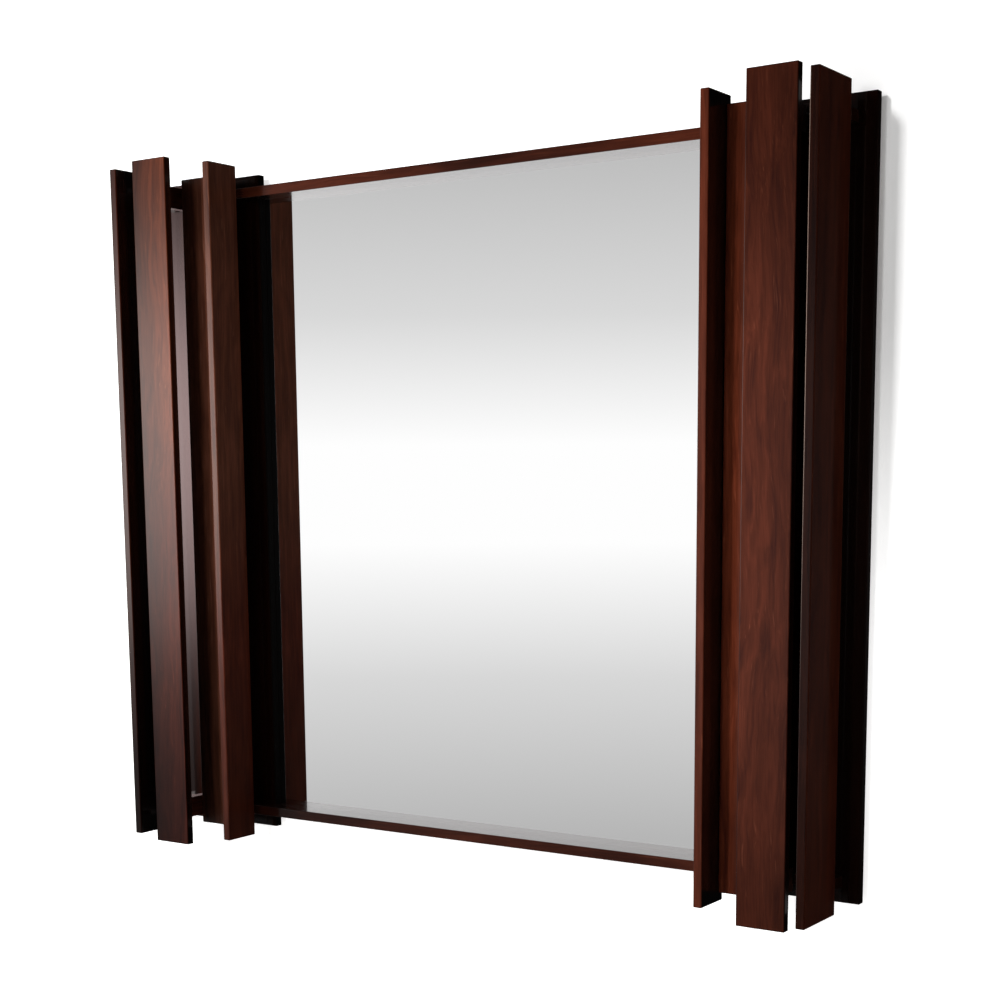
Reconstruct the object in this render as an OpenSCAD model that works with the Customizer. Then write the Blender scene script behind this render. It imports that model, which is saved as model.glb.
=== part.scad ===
// Wall mirror between two columns of staggered dark wood boards, joined by two slim rails.
// The wall is the plane y = 0, the viewer is towards -Y and the object's middle is x = z = 0.
// Every piece is drawn for the right-hand column or the top, and mirrored for the other one.

/* [Heights] */
// Height of the back boards and mid boards
flat_board_h = 956; // [600:2:1400]
// What a fin reaches past the back board at each end
fin_over = 11.5; // [0:0.5:40]
// What the front board, the tallest piece, reaches past the back board at each end
front_over = 22; // [0:1:60]
// Distance from the back board's end to the middle of the rail
rail_inset = 27; // [18:1:60]

/* [Columns, along the width] */
// Clear width between the two back boards
opening_w = 730; // [500:5:900]
// Distance from a back board's inner edge to the inner fin
inner_setback = 25; // [18:1:60]
// Width of the mid board, which butts the inner fin
mid_board_w = 85; // [60:1:110]
// Clear width between the mid board and the outer fin
mid_gap = 56; // [42:1:72]
// Distance from the outer fin to the back board's outer edge
outer_setback = 23; // [6:1:60]
// Width of the front board
front_board_w = 65; // [52:1:90]
// Clear width between the front board and the outer fin
front_gap = 20; // [8:1:32]

/* [Depths, from the wall] */
// Thickness of every board and fin
board_t = 12; // [10:0.5:16]
// Depth of the outer fins
outer_fin_d = 88; // [50:1:130]
// Depth of the inner fins
inner_fin_d = 57; // [40:1:110]
// Depth of the spacers that carry the front boards
spacer_d = 63; // [50:1:110]
// Height of a spacer
spacer_h = 30; // [24:1:60]

/* [Rails] */
// Height of a rail
rail_h = 14; // [12:1:24]
// Depth of the rail in front of the back boards
rail_lap_d = 21; // [15:1:30]
// Height of the rail's lip over the glass
glass_lip = 8; // [5:0.5:9]

/* [Glass and back] */
// Thickness of the mirror glass
glass_t = 4; // [3:1:6]
// Cover of the back board over the glass at each side
glass_lap = 14; // [8:1:20]
// Play round the glass
glass_play = 1; // [0.5:0.5:2]
// Width of the packing strip beside the glass
strip_w = 25; // [20:1:40]
// Thickness of the backing panel
panel_t = 5; // [4:0.5:8]

/* [Edges] */
// Radius of a board's long arrises
arris_r = 1.5; // [0.5:0.25:2.5]
// Chamfer at a board's ends
end_chamfer = 1; // [0.5:0.25:2]
// Radius of the rails' front arrises
rail_arris_r = 1; // [0.5:0.25:2]

/* [Screws and dowels] */
// Shank diameter of the screws through the rails
rail_screw_d = 4; // [3.5:0.5:5]
// Bite of these screws in the fins and spacers
fin_screw_bite = 27; // [15:1:33]
// Bite of these screws in the mid boards
mid_screw_bite = 7; // [4:0.5:8]
// Shank diameter of the small screws
small_screw_d = 3.5; // [3:0.5:4]
// Bite of the panel screws in the back boards
panel_screw_bite = 7; // [4:0.5:8]
// Number of panel screws at each side
panel_screw_n = 5; // [3:1:9]
// Distance from the panel's end to its first screw
panel_screw_margin = 38; // [25:1:80]
// Diameter of the dowels in the front boards
dowel_d = 6; // [5:0.5:8]
// Depth of a dowel in the front board
dowel_front_l = 8; // [5:0.5:9]
// Depth of a dowel in the spacer
dowel_spacer_l = 16; // [10:1:18]
// Distance between a spacer's two dowels
dowel_pitch = 16; // [12:1:18]

/* [Hanging plates] */
// Width of a plate
plate_w = 24; // [18:1:36]
// Height of a plate
plate_h = 60; // [56:1:90]
// Thickness of a plate
plate_t = 2; // [1.5:0.5:3]
// Distance from the back board's top to the middle of the keyhole's entry
keyhole_inset = 93; // [85:1:200]
// Radius of the keyhole's round entry
keyhole_r = 4.5; // [4:0.25:6]
// Half width of the keyhole's slot
keyhole_slot_r = 2.25; // [1.75:0.25:3]
// Rise of the keyhole's slot above its entry
keyhole_rise = 12; // [9:1:16]
// Depth of the pocket behind the keyhole
pocket_depth = 6; // [4:0.5:7.5]
// Width of the pocket beyond the keyhole
pocket_margin = 2; // [1:0.5:4]
// Distance between a plate's two screws
plate_screw_pitch = 46; // [44:1:50]
// Bite of the plate screws in the back boards
plate_screw_bite = 8; // [4:0.5:8.5]

/* [Hidden] */

rosewood = [0.30, 0.13, 0.08];
pale_wood = [0.72, 0.58, 0.40];
steel = [0.62, 0.62, 0.64];
silver = [0.80, 0.82, 0.84];

arc_fn = 48;
// Play of a shank in its hole and of a screw head under the surface
hole_play = 0.1;
head_inset = 0.3;
// Head diameter over shank diameter, width of its slot and depth of the slot
head_ratio = 2;
slot_w = 1;
slot_depth = 0.8;
// Length of a screw's point, and of the hole past the point
point_l = 4;
hole_extra = 1;
// What a cutting shape reaches past the surface it cuts
past = 1;

// Depths, each counted from the wall towards the viewer
panel_front = panel_t;
board_rear = panel_front + glass_t;
board_front = board_rear + board_t;
rail_front = board_front + rail_lap_d;
front_board_rear = rail_front + spacer_d;

// Widths, each counted from the object's middle
board_inner = opening_w / 2;
inner_fin_x = board_inner + inner_setback;
mid_board_x = inner_fin_x + board_t;
spacer_x = mid_board_x + mid_board_w;
outer_fin_x = spacer_x + mid_gap;
rail_end = outer_fin_x + board_t;
board_outer = rail_end + outer_setback;
front_board_x = outer_fin_x - front_gap - front_board_w;
strip_x = board_inner + glass_lap + glass_play;
panel_edge = strip_x + strip_w;
plate_x = (board_inner + board_outer) / 2;

// Heights, the last four counted from the object's middle
fin_h = flat_board_h + 2 * fin_over;
front_board_h = flat_board_h + 2 * front_over;
keyhole_z = flat_board_h / 2 - keyhole_inset;
rail_z = flat_board_h / 2 - rail_inset;
rail_inner = rail_z - rail_h / 2;
rail_outer = rail_z + rail_h / 2;
glass_top = rail_inner + glass_lip - glass_play;

// Lengths of the screws, each from its head's face to its point
rail_screw_reach = board_t + rail_lap_d - head_inset;
fin_screw_l = rail_screw_reach + fin_screw_bite;
mid_screw_l = rail_screw_reach + mid_screw_bite;
panel_screw_l = panel_t + glass_t - head_inset + panel_screw_bite;
plate_screw_l = plate_t - head_inset + plate_screw_bite;

// Middles of what the screws through the rails hold
inner_fin_mid = inner_fin_x + board_t / 2;
mid_board_mid = mid_board_x + mid_board_w / 2;
spacer_mid = spacer_x + board_t / 2;
outer_fin_mid = outer_fin_x + board_t / 2;

module side(hand) {
    if (hand < 0) mirror([1, 0, 0]) children();
    else children();
}

module level(hand) {
    if (hand < 0) mirror([0, 0, 1]) children();
    else children();
}

module both_columns() {
    for (hand = [-1, 1]) side(hand) children();
}

module both_rails() {
    for (hand = [-1, 1]) level(hand) children();
}

module rounded_section(w, d, r) {
    translate([r, 0]) square([w - 2 * r, d]);
    translate([0, r]) square([w, d - 2 * r]);
    for (x = [r, w - r], y = [r, d - r]) translate([x, y]) circle(r, $fn = arc_fn);
}

module chamfered_outline(w, h, c) {
    polygon([[c, 0], [w - c, 0], [w, c], [w, h - c], [w - c, h], [c, h], [0, h - c], [0, c]]);
}

// Upright board from x to x + w and from y_rear to y_rear + d in front of the wall
module board(x, y_rear, w, d, h) {
    translate([x, -y_rear - d, -h / 2]) intersection() {
        linear_extrude(h) rounded_section(w, d, arris_r);
        translate([0, d + past, 0]) rotate([90, 0, 0])
            linear_extrude(d + 2 * past) chamfered_outline(w, h, end_chamfer);
        translate([-past, 0, 0]) rotate([90, 0, 90])
            linear_extrude(w + 2 * past) chamfered_outline(d, h, end_chamfer);
    }
}

// Countersunk screw or its hole, its head's face at y_head in front of the wall, pointing at the viewer
module screw_shape(x, y_head, z, d, l, play, past_head, past_point) {
    r = d / 2 + play;
    head_r = d * head_ratio / 2 + play;
    translate([x, -y_head, z]) rotate([90, 0, 0]) {
        if (past_head > 0) translate([0, 0, -past_head]) cylinder(past_head, head_r, head_r, $fn = arc_fn);
        cylinder(head_r - r, head_r, r, $fn = arc_fn);
        cylinder(l - point_l, r, r, $fn = arc_fn);
        translate([0, 0, l - point_l]) {
            if (past_point > 0) cylinder(point_l + past_point, r, r, $fn = arc_fn);
            else cylinder(point_l, r, r / 4, $fn = arc_fn);
        }
    }
}

module screw(x, y_head, z, d, l) {
    difference() {
        screw_shape(x, y_head, z, d, l, 0, 0, 0);
        translate([x - d, -y_head - slot_depth, z - slot_w / 2]) cube([2 * d, slot_depth + past, slot_w]);
    }
}

module screw_hole(x, y_head, z, d, l) {
    screw_shape(x, y_head, z, d, l, hole_play, past + panel_t, hole_extra);
}

module fin_screw_holes() {
    both_rails() for (x = [inner_fin_mid, spacer_mid, outer_fin_mid])
        screw_hole(x, board_rear + head_inset, rail_z, rail_screw_d, fin_screw_l);
}

module mid_board_screw_holes() {
    both_rails() screw_hole(mid_board_mid, board_rear + head_inset, rail_z, rail_screw_d, mid_screw_l);
}

panel_screw_span = 2 * (rail_outer - panel_screw_margin);
panel_screw_x = strip_x + strip_w / 2;
panel_screw_heights = [for (i = [0 : panel_screw_n - 1])
    -panel_screw_span / 2 + i * panel_screw_span / (panel_screw_n - 1)];

module panel_screw_holes() {
    for (z = panel_screw_heights) screw_hole(panel_screw_x, head_inset, z, small_screw_d, panel_screw_l);
}

plate_mid_z = keyhole_z + keyhole_rise / 2;
plate_rear = board_rear - plate_t;
plate_screw_heights = [for (hand = [-1, 1]) plate_mid_z + hand * plate_screw_pitch / 2];

module plate_screw_holes() {
    for (z = plate_screw_heights) screw_hole(plate_x, plate_rear + head_inset, z, small_screw_d, plate_screw_l);
}

// Upright slot with round ends, cut from y_rear towards the viewer
module keyhole_cut(r_low, r_high, y_rear, depth) {
    translate([plate_x, -y_rear, keyhole_z]) rotate([90, 0, 0]) translate([0, 0, -past]) {
        cylinder(depth + past, r_low, r_low, $fn = arc_fn);
        translate([0, keyhole_rise, 0]) cylinder(depth + past, r_high, r_high, $fn = arc_fn);
        translate([-r_high, 0, 0]) cube([2 * r_high, keyhole_rise, depth + past]);
    }
}

// Dowel or its hole, centred between the front board and the spacer
module dowel_shape(play) {
    r = dowel_d / 2 + play;
    both_rails() for (hand = [-1, 1])
        translate([spacer_mid, -front_board_rear + dowel_spacer_l + play, rail_z + hand * dowel_pitch / 2])
            rotate([90, 0, 0]) cylinder(dowel_spacer_l + dowel_front_l + 2 * play, r, r, $fn = arc_fn);
}

module back_board(hand) {
    color(rosewood) side(hand) difference() {
        board(board_inner, board_rear, board_outer - board_inner, board_t, flat_board_h);
        fin_screw_holes();
        mid_board_screw_holes();
        panel_screw_holes();
        plate_screw_holes();
        keyhole_cut(keyhole_r + pocket_margin, keyhole_r + pocket_margin, board_rear, pocket_depth);
    }
}

module outer_fin(hand) {
    color(rosewood) side(hand) difference() {
        board(outer_fin_x, rail_front, board_t, outer_fin_d, fin_h);
        fin_screw_holes();
    }
}

module inner_fin(hand) {
    color(rosewood) side(hand) difference() {
        board(inner_fin_x, rail_front, board_t, inner_fin_d, fin_h);
        fin_screw_holes();
    }
}

module mid_board(hand) {
    color(rosewood) side(hand) difference() {
        board(mid_board_x, rail_front, mid_board_w, board_t, flat_board_h);
        mid_board_screw_holes();
    }
}

module front_board(hand) {
    color(rosewood) side(hand) difference() {
        board(front_board_x, front_board_rear, front_board_w, board_t, front_board_h);
        dowel_shape(hole_play);
    }
}

module spacer(hand, height) {
    color(rosewood) side(hand) level(height) difference() {
        translate([spacer_x, -front_board_rear, rail_z - spacer_h / 2]) cube([board_t, spacer_d, spacer_h]);
        fin_screw_holes();
        dowel_shape(hole_play);
    }
}

// Rail with its ends halved over the back boards and a rebate for the glass behind its inner edge
module rail(height) {
    rib_d = rail_front - panel_front;
    color(rosewood) level(height) difference() {
        union() {
            translate([-rail_end, -rail_front, rail_inner]) rotate([90, 0, 90]) linear_extrude(2 * rail_end)
                rail_nose(rail_lap_d);
            translate([-board_inner, -rail_front, rail_inner]) rotate([90, 0, 90])
                linear_extrude(opening_w) rail_nose(rib_d);
        }
        translate([-board_inner - past, -board_rear, rail_inner - past])
            cube([opening_w + 2 * past, glass_t + past, glass_lip + past]);
        both_columns() fin_screw_holes();
        both_columns() mid_board_screw_holes();
    }
}

// Section of the rail, d deep and square at the rear, with its two front arrises rounded
module rail_nose(d) {
    translate([rail_arris_r, 0]) square([d - rail_arris_r, rail_h]);
    translate([0, rail_arris_r]) square([d, rail_h - 2 * rail_arris_r]);
    for (y = [rail_arris_r, rail_h - rail_arris_r])
        translate([rail_arris_r, y]) circle(rail_arris_r, $fn = arc_fn);
}

module mirror_glass() {
    color(silver) translate([-board_inner - glass_lap, -board_rear, -glass_top])
        cube([opening_w + 2 * glass_lap, glass_t, 2 * glass_top]);
}

module backing_panel() {
    color(pale_wood) difference() {
        translate([-panel_edge, -panel_front, -rail_outer]) cube([2 * panel_edge, panel_t, 2 * rail_outer]);
        both_columns() panel_screw_holes();
    }
}

module packing_strip(hand) {
    color(pale_wood) side(hand) difference() {
        translate([strip_x, -board_rear, -rail_outer]) cube([strip_w, glass_t, 2 * rail_outer]);
        panel_screw_holes();
    }
}

module hanging_plate(hand) {
    color(steel) side(hand) difference() {
        translate([plate_x - plate_w / 2, -board_rear, plate_mid_z - plate_h / 2]) cube([plate_w, plate_t, plate_h]);
        keyhole_cut(keyhole_r, keyhole_slot_r, plate_rear, plate_t + past);
        plate_screw_holes();
    }
}

module fin_screws() {
    color(steel) both_columns() both_rails() for (x = [inner_fin_mid, spacer_mid, outer_fin_mid])
        screw(x, board_rear + head_inset, rail_z, rail_screw_d, fin_screw_l);
}

module mid_board_screws() {
    color(steel) both_columns() both_rails()
        screw(mid_board_mid, board_rear + head_inset, rail_z, rail_screw_d, mid_screw_l);
}

module panel_screws() {
    color(steel) both_columns() for (z = panel_screw_heights)
        screw(panel_screw_x, head_inset, z, small_screw_d, panel_screw_l);
}

module plate_screws() {
    color(steel) both_columns() for (z = plate_screw_heights)
        screw(plate_x, plate_rear + head_inset, z, small_screw_d, plate_screw_l);
}

module front_board_dowels() {
    color(pale_wood) both_columns() dowel_shape(0);
}

back_board(-1);  // left_back_board
back_board(1);  // right_back_board
outer_fin(-1);  // left_outer_fin
outer_fin(1);  // right_outer_fin
inner_fin(-1);  // left_inner_fin
inner_fin(1);  // right_inner_fin
mid_board(-1);  // left_mid_board
mid_board(1);  // right_mid_board
front_board(-1);  // left_front_board
front_board(1);  // right_front_board
spacer(-1, 1);  // left_top_spacer
spacer(1, 1);  // right_top_spacer
spacer(-1, -1);  // left_bottom_spacer
spacer(1, -1);  // right_bottom_spacer
rail(1);  // top_rail
rail(-1);  // bottom_rail
mirror_glass();
backing_panel();
packing_strip(-1);  // left_packing_strip
packing_strip(1);  // right_packing_strip
hanging_plate(-1);  // left_hanging_plate
hanging_plate(1);  // right_hanging_plate
fin_screws();
mid_board_screws();
panel_screws();
plate_screws();
front_board_dowels();
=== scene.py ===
import math
import bpy
from mathutils import Matrix, Vector


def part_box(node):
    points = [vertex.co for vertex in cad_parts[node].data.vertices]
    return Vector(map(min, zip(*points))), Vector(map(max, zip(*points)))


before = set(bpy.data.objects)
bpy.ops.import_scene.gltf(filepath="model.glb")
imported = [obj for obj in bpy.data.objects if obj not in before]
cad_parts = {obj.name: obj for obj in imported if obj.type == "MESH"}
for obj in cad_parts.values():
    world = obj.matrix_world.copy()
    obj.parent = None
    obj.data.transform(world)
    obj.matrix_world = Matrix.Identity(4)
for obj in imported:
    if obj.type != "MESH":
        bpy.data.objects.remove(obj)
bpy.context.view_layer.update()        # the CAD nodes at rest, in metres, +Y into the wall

print("frame:", len(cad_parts), "nodes from the CAD model")


def linearColour(hexColour, shade=1.0):
    # sRGB hex to the linear RGBA that a socket takes; shade makes it lighter or darker
    parts = [int(hexColour[i:i + 2], 16) / 255 for i in (1, 3, 5)]
    return tuple(shade * (p / 12.92 if p <= 0.04045 else ((p + 0.055) / 1.055) ** 2.4)
                 for p in parts) + (1.0,)


def addNode(tree, kind, inputs={}, stops=(), **settings):
    # an input that is another node's socket is linked, anything else is its value;
    # stops are a colour ramp's positions and colours, in order
    made = tree.nodes.new(kind)
    for name, value in settings.items():
        setattr(made, name, value)
    for name, value in inputs.items():
        if isinstance(value, bpy.types.NodeSocket):
            tree.links.new(value, made.inputs[name])
        else:
            made.inputs[name].default_value = value
    for place, (position, colour) in enumerate(stops):
        elements = made.color_ramp.elements
        if place == 0:
            elements.remove(elements[1])
        stop = elements.new(position) if place else elements[0]
        stop.position, stop.color = position, colour
    return made


def newMaterial(name):
    material = bpy.data.materials.new(name)
    material.use_nodes = True
    material.node_tree.nodes.clear()
    return material, material.node_tree


# camera: the photograph's viewpoint, from the right and a little above the middle
photoView = {
    "focalPixels": 1766.45,          # focal length in the photograph's pixels
    "imageWidth": 994, "imageHeight": 995,
    "axisRow": 752.01,               # the row that the lens axis passes through
    "place": (1.40374, -2.01193, 0.03981),
    "turnLeft": 0.59972, "tiltDown": 0.15257, "roll": 0.00841,      # radians
    "sensorWidth": 36,               # mm
    "nearest": 0.05, "farthest": 60,
}


def placeCamera(view):
    turn, tilt, roll = view["turnLeft"], view["tiltDown"], view["roll"]
    right = Vector((math.cos(turn), math.sin(turn), 0))
    ahead = Vector((-math.sin(turn) * math.cos(tilt), math.cos(turn) * math.cos(tilt),
                    -math.sin(tilt)))
    down = -right.cross(ahead)
    rolledRight = math.cos(roll) * right + math.sin(roll) * down
    rolledDown = math.cos(roll) * down - math.sin(roll) * right
    data = bpy.data.cameras.new("photoCamera")
    longSide = max(view["imageWidth"], view["imageHeight"])
    data.sensor_width = view["sensorWidth"]
    data.lens = view["sensorWidth"] * view["focalPixels"] / longSide
    data.shift_y = (view["axisRow"] - view["imageHeight"] / 2) / longSide
    data.clip_start, data.clip_end = view["nearest"], view["farthest"]
    camera = bpy.data.objects.new("photoCamera", data)
    bpy.context.scene.collection.objects.link(camera)
    camera.matrix_world = (Matrix.Translation(view["place"])
                           @ Matrix((rolledRight, -rolledDown, -ahead)).transposed().to_4x4())
    bpy.context.scene.camera = camera


placeCamera(photoView)
bpy.context.scene.view_settings.view_transform = "Standard"
print("camera placed")


# room: a white wall behind the mirror, a pale floor, and the light of a plain studio
room = {
    "wallHalfWidth": 5.0, "wallTop": 3.0, "floorLevel": -1.5, "floorReach": 6.0,
    "wallGap": 0.0005,               # between the wall and the mounting plane
    "wallGlowHigh": 0.12, "wallGlowLow": 0.70,       # the wall's own light, high up and low down,
    "wallGlowFrom": 0.27, "wallGlowTo": -0.20,       # the heights between which it grows,
    "wallShadeFrom": 0.40, "wallShadeTo": 0.55,      # and the places across it where it falls
    "wallPaint": "#fcfcfc", "floorPaint": "#e9e7e3", "floorGlow": 0.35,
}


def addSheet(name, corners, material):
    mesh = bpy.data.meshes.new(name)
    mesh.from_pydata(corners, [], [(0, 1, 2, 3)])
    sheet = bpy.data.objects.new(name, mesh)
    sheet.data.materials.append(material)
    bpy.context.scene.collection.objects.link(sheet)
    return sheet


def wallPaint():
    # matt emulsion: white in the light, and it keeps the shadow of the boards; its own glow, a
    # painted light that is stronger low down and to the left, washes that shadow out there, so
    # that it shows only high up on the right
    material, tree = newMaterial("matt_wall_emulsion")
    paint = addNode(tree, "ShaderNodeBsdfDiffuse", {"Color": linearColour(room["wallPaint"])})
    space = addNode(tree, "ShaderNodeTexCoord")
    place = addNode(tree, "ShaderNodeSeparateXYZ", {0: space.outputs["Object"]})
    shares = []
    for axis, start, end in (("Z", "wallGlowTo", "wallGlowFrom"),
                             ("X", "wallShadeFrom", "wallShadeTo")):
        shares.append(addNode(tree, "ShaderNodeMapRange", {
            "Value": place.outputs[axis], "From Min": room[start], "From Max": room[end],
            "To Min": room["wallGlowLow"], "To Max": room["wallGlowHigh"]},
            interpolation_type="SMOOTHSTEP"))
    share = addNode(tree, "ShaderNodeMath", {0: shares[0].outputs[0], 1: shares[1].outputs[0]},
                    operation="MAXIMUM")
    glow = addNode(tree, "ShaderNodeEmission", {"Color": (1, 1, 1, 1),
                                                "Strength": share.outputs[0]})
    lit = addNode(tree, "ShaderNodeAddShader", {0: paint.outputs[0], 1: glow.outputs[0]})
    clear = addNode(tree, "ShaderNodeBsdfTransparent")
    side = addNode(tree, "ShaderNodeNewGeometry")      # the wall is clear when seen from behind
    oneSided = addNode(tree, "ShaderNodeMixShader", {0: side.outputs["Backfacing"],
                                                     1: lit.outputs[0], 2: clear.outputs[0]})
    addNode(tree, "ShaderNodeOutputMaterial", {"Surface": oneSided.outputs[0]})
    return material


def floorPaint():
    material, tree = newMaterial("pale_studio_floor")
    paint = addNode(tree, "ShaderNodeBsdfDiffuse", {"Color": linearColour(room["floorPaint"])})
    glow = addNode(tree, "ShaderNodeEmission", {"Color": (1, 1, 1, 1),
                                                "Strength": room["floorGlow"]})
    seen = addNode(tree, "ShaderNodeLightPath")
    mixed = addNode(tree, "ShaderNodeAddShader", {0: paint.outputs[0], 1: glow.outputs[0]})
    shown = addNode(tree, "ShaderNodeMixShader", {0: seen.outputs["Is Camera Ray"],
                                                  1: paint.outputs[0], 2: mixed.outputs[0]})
    addNode(tree, "ShaderNodeOutputMaterial", {"Surface": shown.outputs[0]})
    return material


half, ground, far = room["wallHalfWidth"], room["floorLevel"], room["floorReach"]
gap, top = room["wallGap"], room["wallTop"]
wall = addSheet("studio_wall", [(-half, gap, ground), (half, gap, ground), (half, gap, top),
                                (-half, gap, top)], wallPaint())
wall.visible_shadow = wall.visible_diffuse = wall.visible_glossy = False    # it only takes shadow
floor = addSheet("studio_floor", [(-far, -far, ground), (far, -far, ground), (far, far, ground),
                                  (-far, far, ground)], floorPaint())
floor.visible_glossy = False


air = {      # strengths by the way a ray goes: X to the right, Y to the wall, Z up
    "bandReach": 0.25,                            # Z at the ends of what the mirror shows
    "mirrorBand": [(0.10, "#b6b6b6"), (0.28, "#d8d8d8"), (0.43, "#ffffff"), (0.54, "#ffffff"),
                   (0.68, "#d9d9d9"), (0.90, "#b4b4b4")],
    "bounceLeft": 1.9, "bounceRight": 0.03, "bounceFrom": -0.35, "bounceTo": 0.0,       # by X
    "ambientLeft": 0.09, "ambientRight": 0.025, "ambientFrom": -0.5, "ambientTo": 0.5,  # by X
    "ambientBehind": 0.7, "behindFrom": 0.45, "behindTo": 0.9,                          # by Y
    "glossLeft": 0.32, "glossRight": 0.02, "glossFrom": -0.75, "glossTo": 0.0,          # by X
    "glossHeight": -0.03, "glossCore": 0.05, "glossReach": 0.24, "glossRest": 0.2,      # by Z
}


def studioAir():
    # white behind everything, a soft white band for what the mirror shows, and a dim room that
    # is darker to the right and lighter behind
    world = bpy.data.worlds.new("studio_air")
    bpy.context.scene.world = world
    world.cycles.sampling_method = "NONE"    # so that each kind of ray sees its own air
    world.use_nodes = True
    tree = world.node_tree
    tree.nodes.clear()
    looking = addNode(tree, "ShaderNodeTexCoord")
    way = addNode(tree, "ShaderNodeSeparateXYZ", {0: looking.outputs["Generated"]})
    ray = addNode(tree, "ShaderNodeLightPath")

    height = addNode(tree, "ShaderNodeMapRange", {
        "Value": way.outputs["Z"], "From Min": -air["bandReach"], "From Max": air["bandReach"]})
    band = addNode(tree, "ShaderNodeValToRGB", {"Fac": height.outputs[0]}, stops=[
        (place, linearColour(tone)) for place, tone in air["mirrorBand"]])
    bandLight = addNode(tree, "ShaderNodeBackground", {"Color": band.outputs[0]})
    leftSide = addNode(tree, "ShaderNodeMapRange", {     # its light on the wood is from the left
        "Value": way.outputs["X"], "From Min": air["bounceFrom"], "From Max": air["bounceTo"],
        "To Min": air["bounceLeft"], "To Max": air["bounceRight"]})
    bounced = addNode(tree, "ShaderNodeBackground", {"Color": band.outputs[0],
                                                     "Strength": leftSide.outputs[0]})

    across = addNode(tree, "ShaderNodeMapRange", {
        "Value": way.outputs["X"], "From Min": air["ambientFrom"], "From Max": air["ambientTo"],
        "To Min": air["ambientLeft"], "To Max": air["ambientRight"]})
    behind = addNode(tree, "ShaderNodeMapRange", {
        "Value": way.outputs["Y"], "From Min": air["behindFrom"], "From Max": air["behindTo"],
        "To Min": 0.0, "To Max": air["ambientBehind"]})
    ambient = addNode(tree, "ShaderNodeMath", {0: across.outputs[0], 1: behind.outputs[0]},
                      operation="ADD")
    ambientLight = addNode(tree, "ShaderNodeBackground", {"Color": linearColour("#ffffff"),
                                                          "Strength": ambient.outputs[0]})

    # what the varnish shows: a dark room, lighter to the left at eye height
    leftward = addNode(tree, "ShaderNodeMapRange", {
        "Value": way.outputs["X"], "From Min": air["glossFrom"], "From Max": air["glossTo"],
        "To Min": air["glossLeft"], "To Max": air["glossRight"]})
    fromEyes = addNode(tree, "ShaderNodeMath", {0: way.outputs["Z"], 1: -air["glossHeight"]},
                       operation="ADD")
    offEyes = addNode(tree, "ShaderNodeMath", {0: fromEyes.outputs[0]}, operation="ABSOLUTE")
    fade = addNode(tree, "ShaderNodeMapRange", {
        "Value": offEyes.outputs[0], "From Min": air["glossCore"], "From Max": air["glossReach"],
        "To Min": 1.0, "To Max": air["glossRest"]}, interpolation_type="SMOOTHSTEP")
    gloss = addNode(tree, "ShaderNodeMath", {0: leftward.outputs[0], 1: fade.outputs[0]},
                    operation="MULTIPLY")
    glossLight = addNode(tree, "ShaderNodeBackground", {"Color": linearColour("#ffffff"),
                                                        "Strength": gloss.outputs[0]})

    # which air a ray meets: by its kind, and by whether it has bounced before
    scattered = addNode(tree, "ShaderNodeMath", {0: ray.outputs["Diffuse Depth"], 1: 0.5},
                        operation="GREATER_THAN")
    again = addNode(tree, "ShaderNodeMath", {0: ray.outputs["Ray Depth"], 1: 2.5},
                    operation="GREATER_THAN")    # the world counts as one bounce more
    glossAir = addNode(tree, "ShaderNodeMixShader", {
        0: again.outputs[0], 1: glossLight.outputs[0], 2: bounced.outputs[0]})
    dim = addNode(tree, "ShaderNodeMixShader", {
        0: scattered.outputs[0], 1: glossAir.outputs[0], 2: ambientLight.outputs[0]})
    byMirror = addNode(tree, "ShaderNodeMixShader", {
        0: again.outputs[0], 1: bandLight.outputs[0], 2: bounced.outputs[0]})
    first = addNode(tree, "ShaderNodeMixShader", {
        0: ray.outputs["Is Singular Ray"], 1: dim.outputs[0], 2: byMirror.outputs[0]})
    white = addNode(tree, "ShaderNodeBackground", {"Color": linearColour("#ffffff")})
    shown = addNode(tree, "ShaderNodeMixShader", {
        0: ray.outputs["Is Camera Ray"], 1: first.outputs[0], 2: white.outputs[0]})
    addNode(tree, "ShaderNodeOutputWorld", {"Surface": shown.outputs[0]})


studioAir()

lamps = {      # place, what it faces, width and height in metres, radiance, colour, seen in gloss
    "softbox": ((-1.55, -6.1, 2.65), (0, 0, 0), 0.55, 0.7, 214.0, "#ffffff", False),
    "front": ((-0.1, -6.4, 1.0), (0, 0, 0), 0.9, 1.6, 18.0, "#ffffff", False),
    "window": ((-3.10, -2.38, 0.17), (-0.4, 0, 0.1), 1.0, 2.2, 3.0, "#fff2ed", True),
    "slot": ((-3.10, -2.38, 0.17), (-0.4, 0, 0.1), 1.0, 2.2, 6.3, "#ffdedc", True),
    "fill": ((6.0, -1.2, 0.3), (0, 0, 0), 1.5, 1.5, 14.0, "#ffffff", False),
    "rear": ((-2.2, 4.6, 1.6), (0, 0, 0), 2.0, 2.0, 4.5, "#ffffff", False),
}
# the window's light that comes in behind the left outer fin is the slot lamp: it lights the
# left back board alone, where the fin throws no shadow in it
lampLinks = {
    "window": dict(receiver=("EXCLUDE", "left_back_board")),
    "slot": dict(receiver=("INCLUDE", "left_back_board"), blocker=("EXCLUDE", "left_outer_fin")),
}
# how the window's light falls off from its sill (0) to its head (1)
windowFade = [(0.0, 0.0), (0.15, 0.03), (0.29, 0.6), (0.45, 0.95), (0.62, 1.0), (0.76, 0.38),
              (0.86, 0.17), (1.0, 0.0)]


def addLamp(name, place, target, width, height, radiance, colour, glossy):
    data = bpy.data.lights.new(name, "AREA")
    data.shape, data.size, data.size_y = "RECTANGLE", width, height
    data.energy = radiance * math.pi * width * height
    data.color = linearColour(colour)[:3]
    lamp = bpy.data.objects.new(name, data)
    bpy.context.scene.collection.objects.link(lamp)
    lamp.location = place
    lamp.rotation_euler = (Vector(target) - Vector(place)).to_track_quat("-Z", "Y").to_euler()
    lamp.visible_glossy = glossy
    lamp.visible_camera = False
    return lamp


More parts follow.
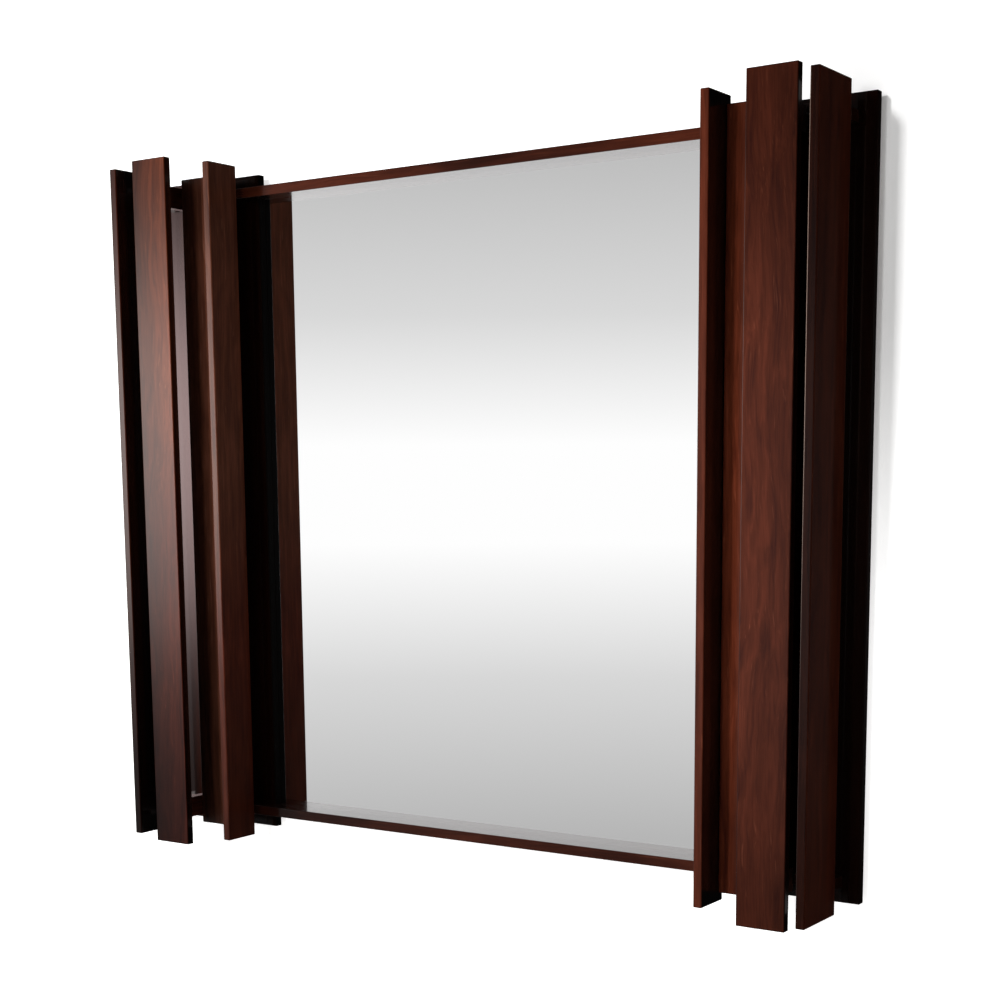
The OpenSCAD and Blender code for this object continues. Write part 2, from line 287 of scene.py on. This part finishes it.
def linkLamp(lamp, links):
    for role, (state, nodeName) in links.items():
        group = bpy.data.collections.new(lamp.name + "_" + role)
        group.objects.link(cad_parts[nodeName])
        group.collection_objects[0].light_linking.link_state = state
        setattr(lamp.light_linking, role + "_collection", group)


def fadeLamp(lamp, fade):
    # the lamp's light by height, so that its sheen on the varnish has no hard ends
    lamp.data.use_nodes = True
    tree = lamp.data.node_tree
    tree.nodes.clear()
    surface = addNode(tree, "ShaderNodeNewGeometry")
    onLamp = addNode(tree, "ShaderNodeSeparateXYZ", {0: surface.outputs["Parametric"]})
    level = addNode(tree, "ShaderNodeValToRGB", {"Fac": onLamp.outputs["Y"]}, stops=[
        (place, (share, share, share, 1)) for place, share in fade])
    level.color_ramp.interpolation = "B_SPLINE"
    glow = addNode(tree, "ShaderNodeEmission", {"Color": level.outputs[0], "Strength": 1.0})
    addNode(tree, "ShaderNodeOutputLight", {"Surface": glow.outputs[0]})


for lampName, lampSettings in lamps.items():
    lamp = addLamp(lampName, *lampSettings)
    if lampName in lampLinks:
        linkLamp(lamp, lampLinks[lampName])
        fadeLamp(lamp, windowFade)
print("room and lamps ready")


# rosewood: long soft streaks and broad rings under a clear coat of satin varnish
# the last colour is that of the painted highlight along arrises
woodColours = {"dark": "#3a150d", "brown": "#502213", "red": "#642d1c", "pore": "#1c0a06",
               "fleck": "#80442f", "paintedGlint": "#b59a8c"}
woodFigure = {     # how many of each to a mm: across the trunk both ways, and along it
    "waves": (0.012, 0.012, 0.0035), "streaks": (0.32, 0.32, 0.008), "clouds": (0.05, 0.05, 0.01),
    "flecks": (0.45, 0.45, 0.016), "pores": (0.9, 0.9, 0.03),
    "rings": 0.11,                                      # from the heart outwards
    "ringShare": 0.32, "streakShare": 0.33, "cloudShare": 0.35,
    "colourPlaces": [(0.35, "dark"), (0.49, "brown"), (0.63, "red")],
    "fleckFrom": 0.66, "fleckTo": 0.80, "fleckShare": 0.5,
    "poreFrom": 0.60, "poreTo": 0.72, "poreShare": 0.25,
}
woodFinish = {
    "toneRoom": 2.0,                                    # the tones' ramp holds them divided by it
    "endGrain": 0.4,                                    # its tone against the long faces'
    "awayFrom": 0.2, "awayTo": 0.7,                     # how far a face turns left or to the wall
    "arrisFrom": 0.1, "arrisTo": 0.3,                   # the normal's X times Y, 0.5 on an arris
    "glintCore": 60.0,                                   # mm over which the painted highlight is strongest
    "smoothest": 0.30, "roughest": 0.42, "specular": 0.1, "coatRoughness": 0.1,
    "poreBump": 0.25, "poreDepth": 0.0002,              # metres
}

# grain: the board's long axis; heart: mm from the board's middle to the tree's heart;
# tilt: degrees between the two; start: which stretch of the tree, in metres;
# sway: how far the trunk's waves bend its grain, in mm;
# tone: how light the wood is at places along the board, from 0 at its low, left or front end,
# and there a cast over its own colours where it has one; it is partly the wood's own drift and
# partly painted light and shade where the light falls off along the board, and a bluish cast is
# a painted sheen;
# the narrow faces' level: how light its narrow long faces are against its broad ones, painted
# light or shade by how the light falls on them;
# cross: the same for its left and right, or front and rear, against its middle: mostly painted
# light and shade across the board;
# away: the same for the faces that look left or to the wall, where the narrow faces' level and
# cross don't count;
# the arris highlight: a painted pale line along an arris where the window's light glints: its X
# side, its height and reach in metres, and its strength
boards = {
    # its dark tone is partly its own dark wood and partly painted shade, deepest on the side it
    # turns to the column
    "left_outer_fin": dict(
        grain="Z", heart=(-60, 25), tilt=(0.6, 0.4), start=0.3, edgeLightAndShade=4.5, away=5.0,
        tone=[(0.02, 0.02), (0.55, 0.11), (0.98, 0.1)]),
    # its light upper half and dark foot are partly painted light and shade, and its left side is
    # painted darker
    "left_front_board": dict(
        grain="Z", heart=(30, 48), tilt=(2.0, -1.5), start=2.7, sway=45, edgeLightAndShade=0.1, away=0.6,
        cross=(0.36, 1.1),
        tone=[(0.02, 0.35, "#ffe6ee"), (0.4, 1.05, "#ffecee"), (0.72, 2.1, "#f6ffe6"),
              (0.98, 1.55, "#f6ffe6")]),
    # its bluish cast and light upper part are a painted sheen, and it is painted lighter to its
    # right, where it shows beside the inner fin
    "left_mid_board": dict(
        grain="Z", heart=(-50, 70), tilt=(0.5, 0.7), start=4.1, cross=(1.1, 2.0),
        tone=[(0.05, 0.8, "#b4e0ff"), (0.24, 1.0, "#b4e0ff"), (0.42, 1.65, "#b4e0ff"),
              (0.87, 1.95, "#b4e0ff"), (0.97, 1.4, "#b4e0ff")]),
    # its light, bluish upper half is partly a painted sheen
    "left_inner_fin": dict(
        grain="Z", heart=(55, 40), tilt=(0.7, 0.3), start=5.9, edgeLightAndShade=1.5,
        tone=[(0.02, 0.38), (0.3, 0.7, "#f6f4ff"), (0.55, 1.9, "#b8dcf0"),
              (0.8, 1.95, "#b8dcf0"), (0.98, 1.45, "#b8dcf0")]),
    # its near-black tone is painted shade behind the column, and its lighter left side is painted
    # light where it shows between the outer fin and the front board
    "left_back_board": dict(
        grain="Z", heart=(-80, 60), tilt=(0.5, 0.9), start=7.2, away=4.0, cross=(3.0, 0.1),
        tone=[(0.0, 0.1), (1.0, 0.1)]),
    # its tone paints its right side near black as shade, in the pocket behind the front board; its
    # narrow faces and the faces that look left or to the wall are raised back towards a plain
    # level
    "right_inner_fin": dict(
        grain="Z", heart=(40, 60), tilt=(0.4, 0.5), start=8.8, edgeLightAndShade=22.0, away=8.0,
        tone=[(0.02, 0.039), (0.55, 0.048), (0.85, 0.051), (0.98, 0.045)]),
    # lighter at its left and near black at its right: painted light and shade across it
    "right_mid_board": dict(
        grain="Z", heart=(-45, 75), tilt=(0.8, 0.4), start=10.3, away=0.5, cross=(1.35, 0.1),
        tone=[(0.02, 0.85), (0.3, 1.45), (0.55, 1.4), (0.75, 1.05), (0.98, 0.7)]),
    "right_front_board": dict(
        grain="Z", heart=(22, 40), tilt=(2.4, 1.6), start=12.6, sway=48, edgeLightAndShade=0.14,
        cross=(1.2, 0.85),
        tone=[(0.02, 0.55), (0.2, 0.8), (0.45, 0.95), (0.7, 0.88), (0.85, 0.6), (0.98, 0.48)],
        paintedGlint=(-1, 0.17, 0.4, 0.12)),
    "right_outer_fin": dict(
        grain="Z", heart=(-70, 30), tilt=(0.5, 0.6), start=14.4, edgeLightAndShade=0.5,
        tone=[(0.02, 0.38), (0.55, 0.4), (0.98, 0.32)], paintedGlint=(-1, 0.24, 0.5, 0.75)),
    # its near-black tone is painted shade, where the outer fin shadows it
    "right_back_board": dict(
        grain="Z", heart=(75, 65), tilt=(0.6, 0.6), start=16.9, away=9.0,
        tone=[(0.0, 0.05), (1.0, 0.05)]),
    # the rails' tone is partly painted shade, darkest near the columns, where they shadow the
    # rails
    "top_rail": dict(
        grain="X", heart=(30, 45), tilt=(0.3, 0.3), start=18.2,
        tone=[(0.15, 0.12), (0.18, 0.2), (0.22, 0.85), (0.3, 0.9), (0.42, 0.7), (0.53, 0.35),
              (0.62, 0.45), (0.82, 0.95), (0.92, 0.2)]),
    "bottom_rail": dict(
        grain="X", heart=(-35, 40), tilt=(0.3, 0.3), start=20.5,
        tone=[(0.18, 0.08), (0.3, 0.25), (0.5, 0.5), (0.7, 0.42), (0.82, 0.6), (0.92, 0.2)]),
    "left_top_spacer": dict(
        grain="Y", heart=(20, 30), tilt=(0.5, 0.5), start=22.1, tone=[(0.0, 0.5), (1.0, 0.5)]),
    "left_bottom_spacer": dict(
        grain="Y", heart=(25, 30), tilt=(0.5, 0.5), start=23.4, tone=[(0.0, 0.5), (1.0, 0.5)]),
    "right_top_spacer": dict(
        grain="Y", heart=(20, 35), tilt=(0.5, 0.5), start=24.8, tone=[(0.0, 0.5), (1.0, 0.5)]),
    "right_bottom_spacer": dict(
        grain="Y", heart=(25, 35), tilt=(0.5, 0.5), start=26.3, tone=[(0.0, 0.5), (1.0, 0.5)]),
}


def rosewood(board, grain, heart, tilt, start, tone, sway=26, edgeLightAndShade=1.0, cross=(1, 1), away=1.0,
             paintedGlint=None):
    material, tree = newMaterial("varnished_rosewood_" + board)
    low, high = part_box(board)
    middle, size = (low + high) / 2, list(high - low)
    # object coordinates in mm, from the board's middle, with the grain turned to Z
    lay = {"Z": (0, 0, 0), "X": (0, -math.pi / 2, 0), "Y": (math.pi / 2, 0, 0)}[grain]
    space = addNode(tree, "ShaderNodeTexCoord")
    centred = addNode(tree, "ShaderNodeVectorMath", {0: space.outputs["Object"], 1: tuple(middle)},
                      operation="SUBTRACT")
    turned = addNode(tree, "ShaderNodeMapping", {
        "Vector": centred.outputs[0], "Rotation": lay, "Scale": (1000, 1000, 1000)})
    inTree = addNode(tree, "ShaderNodeMapping", {
        "Vector": turned.outputs[0], "Location": (heart[0], heart[1], 1000 * start),
        "Rotation": (math.radians(tilt[0]), math.radians(tilt[1]), 0)})
    # the trunk's slow waves bend the rings
    slow = addNode(tree, "ShaderNodeMapping", {"Vector": inTree.outputs[0],
                                               "Scale": woodFigure["waves"]})
    bend = addNode(tree, "ShaderNodeTexNoise", {"Vector": slow.outputs[0], "Scale": 1.0,
                                                "Detail": 3.0, "Roughness": 0.55})
    bendMm = addNode(tree, "ShaderNodeVectorMath", {0: bend.outputs["Color"], 1: (sway, sway, 0)},
                     operation="MULTIPLY")
    grown = addNode(tree, "ShaderNodeVectorMath", {0: inTree.outputs[0], 1: bendMm.outputs[0]},
                    operation="ADD")
    across = addNode(tree, "ShaderNodeVectorMath", {0: grown.outputs[0], 1: (1, 1, 0)},
                     operation="MULTIPLY")
    radius = addNode(tree, "ShaderNodeVectorMath", {0: across.outputs[0]}, operation="LENGTH")
    # rings 4 to 12 mm apart, streaks about 3 mm wide that run with the grain, and clouds of
    # colour some 20 mm across and 100 mm long
    rings = addNode(tree, "ShaderNodeTexNoise", {
        "W": radius.outputs["Value"], "Scale": woodFigure["rings"], "Detail": 2.0,
        "Roughness": 0.4}, noise_dimensions="1D")
    drawn = addNode(tree, "ShaderNodeMapping", {"Vector": grown.outputs[0],
                                                "Scale": woodFigure["streaks"]})
    streaks = addNode(tree, "ShaderNodeTexNoise", {"Vector": drawn.outputs[0], "Scale": 1.0,
                                                   "Detail": 3.0, "Roughness": 0.6})
    patch = addNode(tree, "ShaderNodeMapping", {"Vector": grown.outputs[0],
                                                "Scale": woodFigure["clouds"]})
    clouds = addNode(tree, "ShaderNodeTexNoise", {"Vector": patch.outputs[0], "Scale": 1.0,
                                                  "Detail": 4.0, "Roughness": 0.55,
                                                  "Distortion": 0.6})
    layers = [addNode(tree, "ShaderNodeMath", {0: noise.outputs["Fac"], 1: share},
                      operation="MULTIPLY")
              for noise, share in ((rings, woodFigure["ringShare"]),
                                   (streaks, woodFigure["streakShare"]),
                                   (clouds, woodFigure["cloudShare"]))]
    figure = layers[0]
    for layer in layers[1:]:
        figure = addNode(tree, "ShaderNodeMath", {0: figure.outputs[0], 1: layer.outputs[0]},
                         operation="ADD")
    colour = addNode(tree, "ShaderNodeValToRGB", {"Fac": figure.outputs[0]}, stops=[
        (place, linearColour(woodColours[hue])) for place, hue in woodFigure["colourPlaces"]])
    # a few pale flecks, 2 mm wide and 60 mm long
    thin = addNode(tree, "ShaderNodeMapping", {"Vector": grown.outputs[0],
                                               "Scale": woodFigure["flecks"]})
    sparse = addNode(tree, "ShaderNodeTexNoise", {"Vector": thin.outputs[0], "Scale": 1.0,
                                                  "Detail": 1.0})
    flecks = addNode(tree, "ShaderNodeMapRange", {
        "Value": sparse.outputs["Fac"], "From Min": woodFigure["fleckFrom"],
        "From Max": woodFigure["fleckTo"], "To Max": woodFigure["fleckShare"]})
    flecked = addNode(tree, "ShaderNodeMix", {
        "Factor": flecks.outputs[0], 6: colour.outputs[0], 7: linearColour(woodColours["fleck"])},
        data_type="RGBA")
    # open pores: dark hairs about 1 mm wide and 30 mm long, drawn wider than real to show
    fine = addNode(tree, "ShaderNodeMapping", {"Vector": turned.outputs[0],
                                               "Scale": woodFigure["pores"]})
    hairs = addNode(tree, "ShaderNodeTexNoise", {"Vector": fine.outputs[0], "Scale": 1.0,
                                                 "Detail": 2.0})
    pores = addNode(tree, "ShaderNodeMapRange", {
        "Value": hairs.outputs["Fac"], "From Min": woodFigure["poreFrom"],
        "From Max": woodFigure["poreTo"], "To Max": woodFigure["poreShare"]})
    pored = addNode(tree, "ShaderNodeMix", {
        "Factor": pores.outputs[0], 6: flecked.outputs[2], 7: linearColour(woodColours["pore"])},
        data_type="RGBA")
    # the tone drifts along the board: partly as heartwood does, partly painted light and shade
    # along it, and a bluish cast is a painted sheen
    reach = max(size) * 500        # mm from the middle to an end
    alongBoard = addNode(tree, "ShaderNodeSeparateXYZ", {0: turned.outputs[0]})
    share = addNode(tree, "ShaderNodeMapRange", {
        "Value": alongBoard.outputs["Z"], "From Min": -reach, "From Max": reach})
    driftLightAndShade = addNode(tree, "ShaderNodeValToRGB", {"Fac": share.outputs[0]}, stops=[
        (place, linearColour(cast[0] if cast else "#ffffff", level / woodFinish["toneRoom"]))
        for place, level, *cast in tone])
    driftLightAndShade.color_ramp.interpolation = "EASE"
    # narrow long faces have their own level, painted light or shade by how the light falls on
    # them, and end grain drinks the varnish and is darker
    longAxis = "XYZ".index(grain)
    widthAxis = max((length, axis) for axis, length in enumerate(size) if axis != longAxis)[1]
    faceTone = [0, 0, 0]
    faceTone[longAxis], faceTone[widthAxis] = woodFinish["endGrain"] - 1, edgeLightAndShade - 1
    facing = addNode(tree, "ShaderNodeVectorMath", {0: space.outputs["Normal"]},
                     operation="ABSOLUTE")
    faceShare = addNode(tree, "ShaderNodeVectorMath", {0: facing.outputs[0], 1: faceTone},
                        operation="DOT_PRODUCT")
    faceLevel = addNode(tree, "ShaderNodeMath", {0: faceShare.outputs["Value"], 1: 1.0},
                        operation="ADD")
    # painted light and shade across the board's width, and a level of its own for the faces that
    # look left or to the wall
    place = addNode(tree, "ShaderNodeSeparateXYZ", {0: centred.outputs[0]})
    lowLevel, highLevel, awayLevel = [woodFinish["toneRoom"] * share for share in (*cross, away)]
    crossLevel = addNode(tree, "ShaderNodeMapRange", {
        "Value": place.outputs[widthAxis], "From Min": -size[widthAxis] / 2,
        "From Max": size[widthAxis] / 2, "To Min": lowLevel, "To Max": highLevel})
    frontLevel = addNode(tree, "ShaderNodeMath", {0: faceLevel.outputs[0],
                                                  1: crossLevel.outputs[0]},
                         operation="MULTIPLY")
    turnedAway = addNode(tree, "ShaderNodeVectorMath", {0: space.outputs["Normal"],
                                                        1: (-1, 1, 0)}, operation="DOT_PRODUCT")
    level = addNode(tree, "ShaderNodeMapRange", {
        "Value": turnedAway.outputs["Value"], "From Min": woodFinish["awayFrom"],
        "From Max": woodFinish["awayTo"], "To Min": frontLevel.outputs[0],
        "To Max": awayLevel})
    toned = addNode(tree, "ShaderNodeVectorMath", {0: pored.outputs[2], 1: driftLightAndShade.outputs[0]},
                    operation="MULTIPLY")
    shaded = addNode(tree, "ShaderNodeVectorMath", {0: toned.outputs[0],
                                                    "Scale": level.outputs[0]},
                     operation="SCALE")
    finish = shaded.outputs[0]
    # a painted highlight: a pale line along one arris where the window's light glints
    if paintedGlint:
        side, height, glintReach, strength = paintedGlint
        normal = addNode(tree, "ShaderNodeSeparateXYZ", {0: space.outputs["Normal"]})
        corner = addNode(tree, "ShaderNodeMath", {0: normal.outputs["X"],
                                                  1: normal.outputs["Y"]},
                         operation="MULTIPLY")     # 0.5 on the arris and 0 on the faces
        onArris = addNode(tree, "ShaderNodeMapRange", {
            "Value": corner.outputs[0], "From Min": -woodFinish["arrisFrom"] * side,
            "From Max": -woodFinish["arrisTo"] * side})
        above = addNode(tree, "ShaderNodeMath", {0: alongBoard.outputs["Z"],
                                                 1: -1000 * height}, operation="ADD")
        distance = addNode(tree, "ShaderNodeMath", {0: above.outputs[0]}, operation="ABSOLUTE")
        glintFade = addNode(tree, "ShaderNodeMapRange", {
            "Value": distance.outputs[0], "From Min": woodFinish["glintCore"],
            "From Max": 1000 * glintReach, "To Min": strength, "To Max": 0.0},
            interpolation_type="SMOOTHSTEP")
        glintShare = addNode(tree, "ShaderNodeMath", {0: onArris.outputs[0], 1: glintFade.outputs[0]},
                           operation="MULTIPLY")
        mixed = addNode(tree, "ShaderNodeMix", {
            "Factor": glintShare.outputs[0], 6: shaded.outputs[0],
            7: linearColour(woodColours["paintedGlint"])}, data_type="RGBA")
        finish = mixed.outputs[2]
    bump = addNode(tree, "ShaderNodeBump", {
        "Strength": woodFinish["poreBump"], "Distance": woodFinish["poreDepth"],
        "Height": pores.outputs[0]}, invert=True)
    rough = addNode(tree, "ShaderNodeMapRange", {
        "Value": streaks.outputs["Fac"], "To Min": woodFinish["smoothest"],
        "To Max": woodFinish["roughest"]})
    wood = addNode(tree, "ShaderNodeBsdfPrincipled", {
        "Base Color": finish, "Roughness": rough.outputs[0], "IOR": 1.5,
        "Specular IOR Level": woodFinish["specular"], "Coat Weight": 1.0,
        "Coat Roughness": woodFinish["coatRoughness"], "Coat IOR": 1.5,
        "Normal": bump.outputs[0]})
    addNode(tree, "ShaderNodeOutputMaterial", {"Surface": wood.outputs[0]})
    return material


def wear(nodeName, material):
    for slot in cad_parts[nodeName].material_slots:
        slot.material = material


for boardName, boardLook in boards.items():
    wear(boardName, rosewood(boardName, **boardLook))
print("rosewood on", len(boards), "boards")


def silveredGlass():
    # silvered float glass: what stands before it, almost whole, and sharp
    material, tree = newMaterial("silvered_float_glass")
    silver = addNode(tree, "ShaderNodeBsdfPrincipled", {
        "Base Color": linearColour("#fefefe"), "Metallic": 1.0, "Roughness": 0.0})
    addNode(tree, "ShaderNodeOutputMaterial", {"Surface": silver.outputs[0]})
    return material


wear("mirror_glass", silveredGlass())
print("mirror ready")


# the hidden parts: plain joiner's timber and plated steel
plyLook = {
    "face": "#dcc298", "band": "#d2b284", "core": "#a98458", "hair": "#b98f5e",
    "faceVeneer": 1.2, "thickness": 5.0,                # mm
    "flames": (0.011, 0, 0.0014), "hairs": (0.7, 0.7, 0.03),       # to a mm, grain upwards
    "contours": 11.0,                                   # bands from the lowest to the highest
    "bandTo": 0.05, "faceFrom": 0.30, "hairFrom": 0.55, "hairTo": 0.75, "hairShare": 0.45,
    "roughness": 0.72, "grainBump": 0.3, "grainDepth": 0.0002,     # metres
}


def birchPlywood():
    # birch plywood, sanded and bare: rotary-cut flames on the faces, plies on the edges
    material, tree = newMaterial("bare_birch_plywood")
    space = addNode(tree, "ShaderNodeTexCoord")
    inMm = addNode(tree, "ShaderNodeMapping", {"Vector": space.outputs["Object"],
                                               "Scale": (1000, 1000, 1000)})
    wide = addNode(tree, "ShaderNodeMapping", {"Vector": inMm.outputs[0],
                                               "Scale": plyLook["flames"]})
    hills = addNode(tree, "ShaderNodeTexNoise", {"Vector": wide.outputs[0], "Scale": 1.0,
                                                 "Detail": 2.0, "Roughness": 0.4})
    contours = addNode(tree, "ShaderNodeMath", {0: hills.outputs["Fac"], 1: plyLook["contours"]},
                       operation="MULTIPLY")
    flames = addNode(tree, "ShaderNodeMath", {0: contours.outputs[0], 1: 0.5},
                     operation="PINGPONG")
    face = addNode(tree, "ShaderNodeValToRGB", {"Fac": flames.outputs[0]}, stops=(
        (plyLook["bandTo"], linearColour(plyLook["band"])),
        (plyLook["faceFrom"], linearColour(plyLook["face"]))))
    thin = addNode(tree, "ShaderNodeMapping", {"Vector": inMm.outputs[0],
                                               "Scale": plyLook["hairs"]})
    grain = addNode(tree, "ShaderNodeTexNoise", {"Vector": thin.outputs[0], "Scale": 1.0,
                                                 "Detail": 3.0})
    hairs = addNode(tree, "ShaderNodeMapRange", {
        "Value": grain.outputs["Fac"], "From Min": plyLook["hairFrom"],
        "From Max": plyLook["hairTo"], "To Max": plyLook["hairShare"]})
    haired = addNode(tree, "ShaderNodeMix", {
        "Factor": hairs.outputs[0], 6: face.outputs[0], 7: linearColour(plyLook["hair"])},
        data_type="RGBA")
    place = addNode(tree, "ShaderNodeSeparateXYZ", {0: inMm.outputs[0]})
    fromBack = addNode(tree, "ShaderNodeMath", {0: place.outputs["Y"],
                                                1: plyLook["thickness"] / 2}, operation="ADD")
    fromMiddle = addNode(tree, "ShaderNodeMath", {0: fromBack.outputs[0]}, operation="ABSOLUTE")
    inCore = addNode(tree, "ShaderNodeMath", {
        0: fromMiddle.outputs[0], 1: plyLook["thickness"] / 2 - plyLook["faceVeneer"]},
        operation="LESS_THAN")
    wood = addNode(tree, "ShaderNodeMix", {
        "Factor": inCore.outputs[0], 6: haired.outputs[2], 7: linearColour(plyLook["core"])},
        data_type="RGBA")
    bump = addNode(tree, "ShaderNodeBump", {
        "Strength": plyLook["grainBump"], "Distance": plyLook["grainDepth"],
        "Height": grain.outputs["Fac"]})
    board = addNode(tree, "ShaderNodeBsdfPrincipled", {
        "Base Color": wood.outputs[2], "Roughness": plyLook["roughness"],
        "Normal": bump.outputs[0]})
    addNode(tree, "ShaderNodeOutputMaterial", {"Surface": board.outputs[0]})
    return material


plainWoods = {      # early and late wood, flecks, ring spacing and fleck size in mm, grain axis
    "planed_pine": dict(early="#dfc08d", late="#b98a52", fleck="#c79c63", ring=4.0,
                        fleckSize=(0.5, 0.5, 30.0), grain="Z"),
    "turned_beech": dict(early="#cfa77e", late="#bf936a", fleck="#8d6242", ring=2.5,
                         fleckSize=(0.6, 3.0, 0.6), grain="Y"),
}
plainFinish = {     # the same for both
    "alongGrain": 0.0012,                               # how fast the rings wander, to a mm
    "contours": 18.0, "lateTo": 0.02, "earlyFrom": 0.35,
    "fleckFrom": 0.58, "fleckTo": 0.72, "fleckShare": 0.6,
    "roughness": 0.68, "ringBump": 0.3, "ringDepth": 0.0002,       # metres
}


def plainWood(name, early, late, fleck, ring, fleckSize, grain):
    # bare planed or turned timber: soft growth rings cut along the grain, and small flecks
    material, tree = newMaterial(name)
    space = addNode(tree, "ShaderNodeTexCoord")
    inMm = addNode(tree, "ShaderNodeMapping", {"Vector": space.outputs["Object"],
                                               "Scale": (1000, 1000, 1000)})
    # the rings are contours of slow hills that are about six rings wide
    slim = [plainFinish["alongGrain"] if axis == grain else 1 / ring / 6 for axis in "XYZ"]
    drawn = addNode(tree, "ShaderNodeMapping", {"Vector": inMm.outputs[0], "Scale": slim})
    hills = addNode(tree, "ShaderNodeTexNoise", {"Vector": drawn.outputs[0], "Scale": 1.0,
                                                 "Detail": 1.0})
    contours = addNode(tree, "ShaderNodeMath", {
        0: hills.outputs["Fac"], 1: plainFinish["contours"]}, operation="MULTIPLY")
    rings = addNode(tree, "ShaderNodeMath", {0: contours.outputs[0], 1: 0.5},
                    operation="PINGPONG")
    colour = addNode(tree, "ShaderNodeValToRGB", {"Fac": rings.outputs[0]}, stops=(
        (plainFinish["lateTo"], linearColour(late)),
        (plainFinish["earlyFrom"], linearColour(early))))
    spotted = addNode(tree, "ShaderNodeMapping", {
        "Vector": inMm.outputs[0], "Scale": [1 / length for length in fleckSize]})
    spots = addNode(tree, "ShaderNodeTexNoise", {"Vector": spotted.outputs[0], "Scale": 1.0,
                                                 "Detail": 1.0})
    flecks = addNode(tree, "ShaderNodeMapRange", {
        "Value": spots.outputs["Fac"], "From Min": plainFinish["fleckFrom"],
        "From Max": plainFinish["fleckTo"], "To Max": plainFinish["fleckShare"]})
    wood = addNode(tree, "ShaderNodeMix", {
        "Factor": flecks.outputs[0], 6: colour.outputs[0], 7: linearColour(fleck)},
        data_type="RGBA")
    bump = addNode(tree, "ShaderNodeBump", {
        "Strength": plainFinish["ringBump"], "Distance": plainFinish["ringDepth"],
        "Height": rings.outputs[0]})
    stick = addNode(tree, "ShaderNodeBsdfPrincipled", {
        "Base Color": wood.outputs[2], "Roughness": plainFinish["roughness"],
        "Normal": bump.outputs[0]})
    addNode(tree, "ShaderNodeOutputMaterial", {"Surface": stick.outputs[0]})
    return material


steelLook = {
    "plating": "#b9bdc1", "dull": "#94999e",
    "film": 0.4,                                        # share of the dull film
    "spangle": 6.0, "grit": 0.35,                       # mm
    "drawnOut": 0.12,                                   # the grit's pace upwards, as it was rolled
    "smoothest": 0.28, "roughest": 0.46,
    "gritBump": 0.15, "gritDepth": 0.00005,             # metres
}


def zincPlatedSteel():
    # pressed steel, zinc plated: cool grey metal under a thin dull film that scatters part of
    # the light, faint spangle, a fine rolled grain
    material, tree = newMaterial("zinc_plated_steel")
    space = addNode(tree, "ShaderNodeTexCoord")
    inMm = addNode(tree, "ShaderNodeMapping", {"Vector": space.outputs["Object"],
                                               "Scale": (1000, 1000, 1000)})
    spangle = addNode(tree, "ShaderNodeTexVoronoi", {
        "Vector": inMm.outputs[0], "Scale": 1 / steelLook["spangle"], "Randomness": 1.0})
    cells = addNode(tree, "ShaderNodeSeparateColor", {"Color": spangle.outputs["Color"]})
    colour = addNode(tree, "ShaderNodeValToRGB", {"Fac": cells.outputs[0]}, stops=(
        (0.0, linearColour(steelLook["dull"])), (1.0, linearColour(steelLook["plating"]))))
    rolled = addNode(tree, "ShaderNodeMapping", {
        "Vector": inMm.outputs[0],
        "Scale": [pace / steelLook["grit"] for pace in (1, 1, steelLook["drawnOut"])]})
    grit = addNode(tree, "ShaderNodeTexNoise", {"Vector": rolled.outputs[0], "Scale": 1.0,
                                                "Detail": 2.0})
    rough = addNode(tree, "ShaderNodeMapRange", {
        "Value": grit.outputs["Fac"], "To Min": steelLook["smoothest"],
        "To Max": steelLook["roughest"]})
    bump = addNode(tree, "ShaderNodeBump", {
        "Strength": steelLook["gritBump"], "Distance": steelLook["gritDepth"],
        "Height": grit.outputs["Fac"]})
    steel = addNode(tree, "ShaderNodeBsdfPrincipled", {
        "Base Color": colour.outputs[0], "Metallic": 1.0 - steelLook["film"],
        "Roughness": rough.outputs[0], "Normal": bump.outputs[0]})
    addNode(tree, "ShaderNodeOutputMaterial", {"Surface": steel.outputs[0]})
    return material


wear("backing_panel", birchPlywood())
pine, beech = [plainWood(name, **look) for name, look in plainWoods.items()]
for stripName in ("left_packing_strip", "right_packing_strip"):
    wear(stripName, pine)
wear("front_board_dowels", beech)
steel = zincPlatedSteel()
for steelName in ("left_hanging_plate", "right_hanging_plate", "fin_screws", "mid_board_screws",
                  "panel_screws", "plate_screws"):
    wear(steelName, steel)
print("plywood, pine, beech and steel ready")
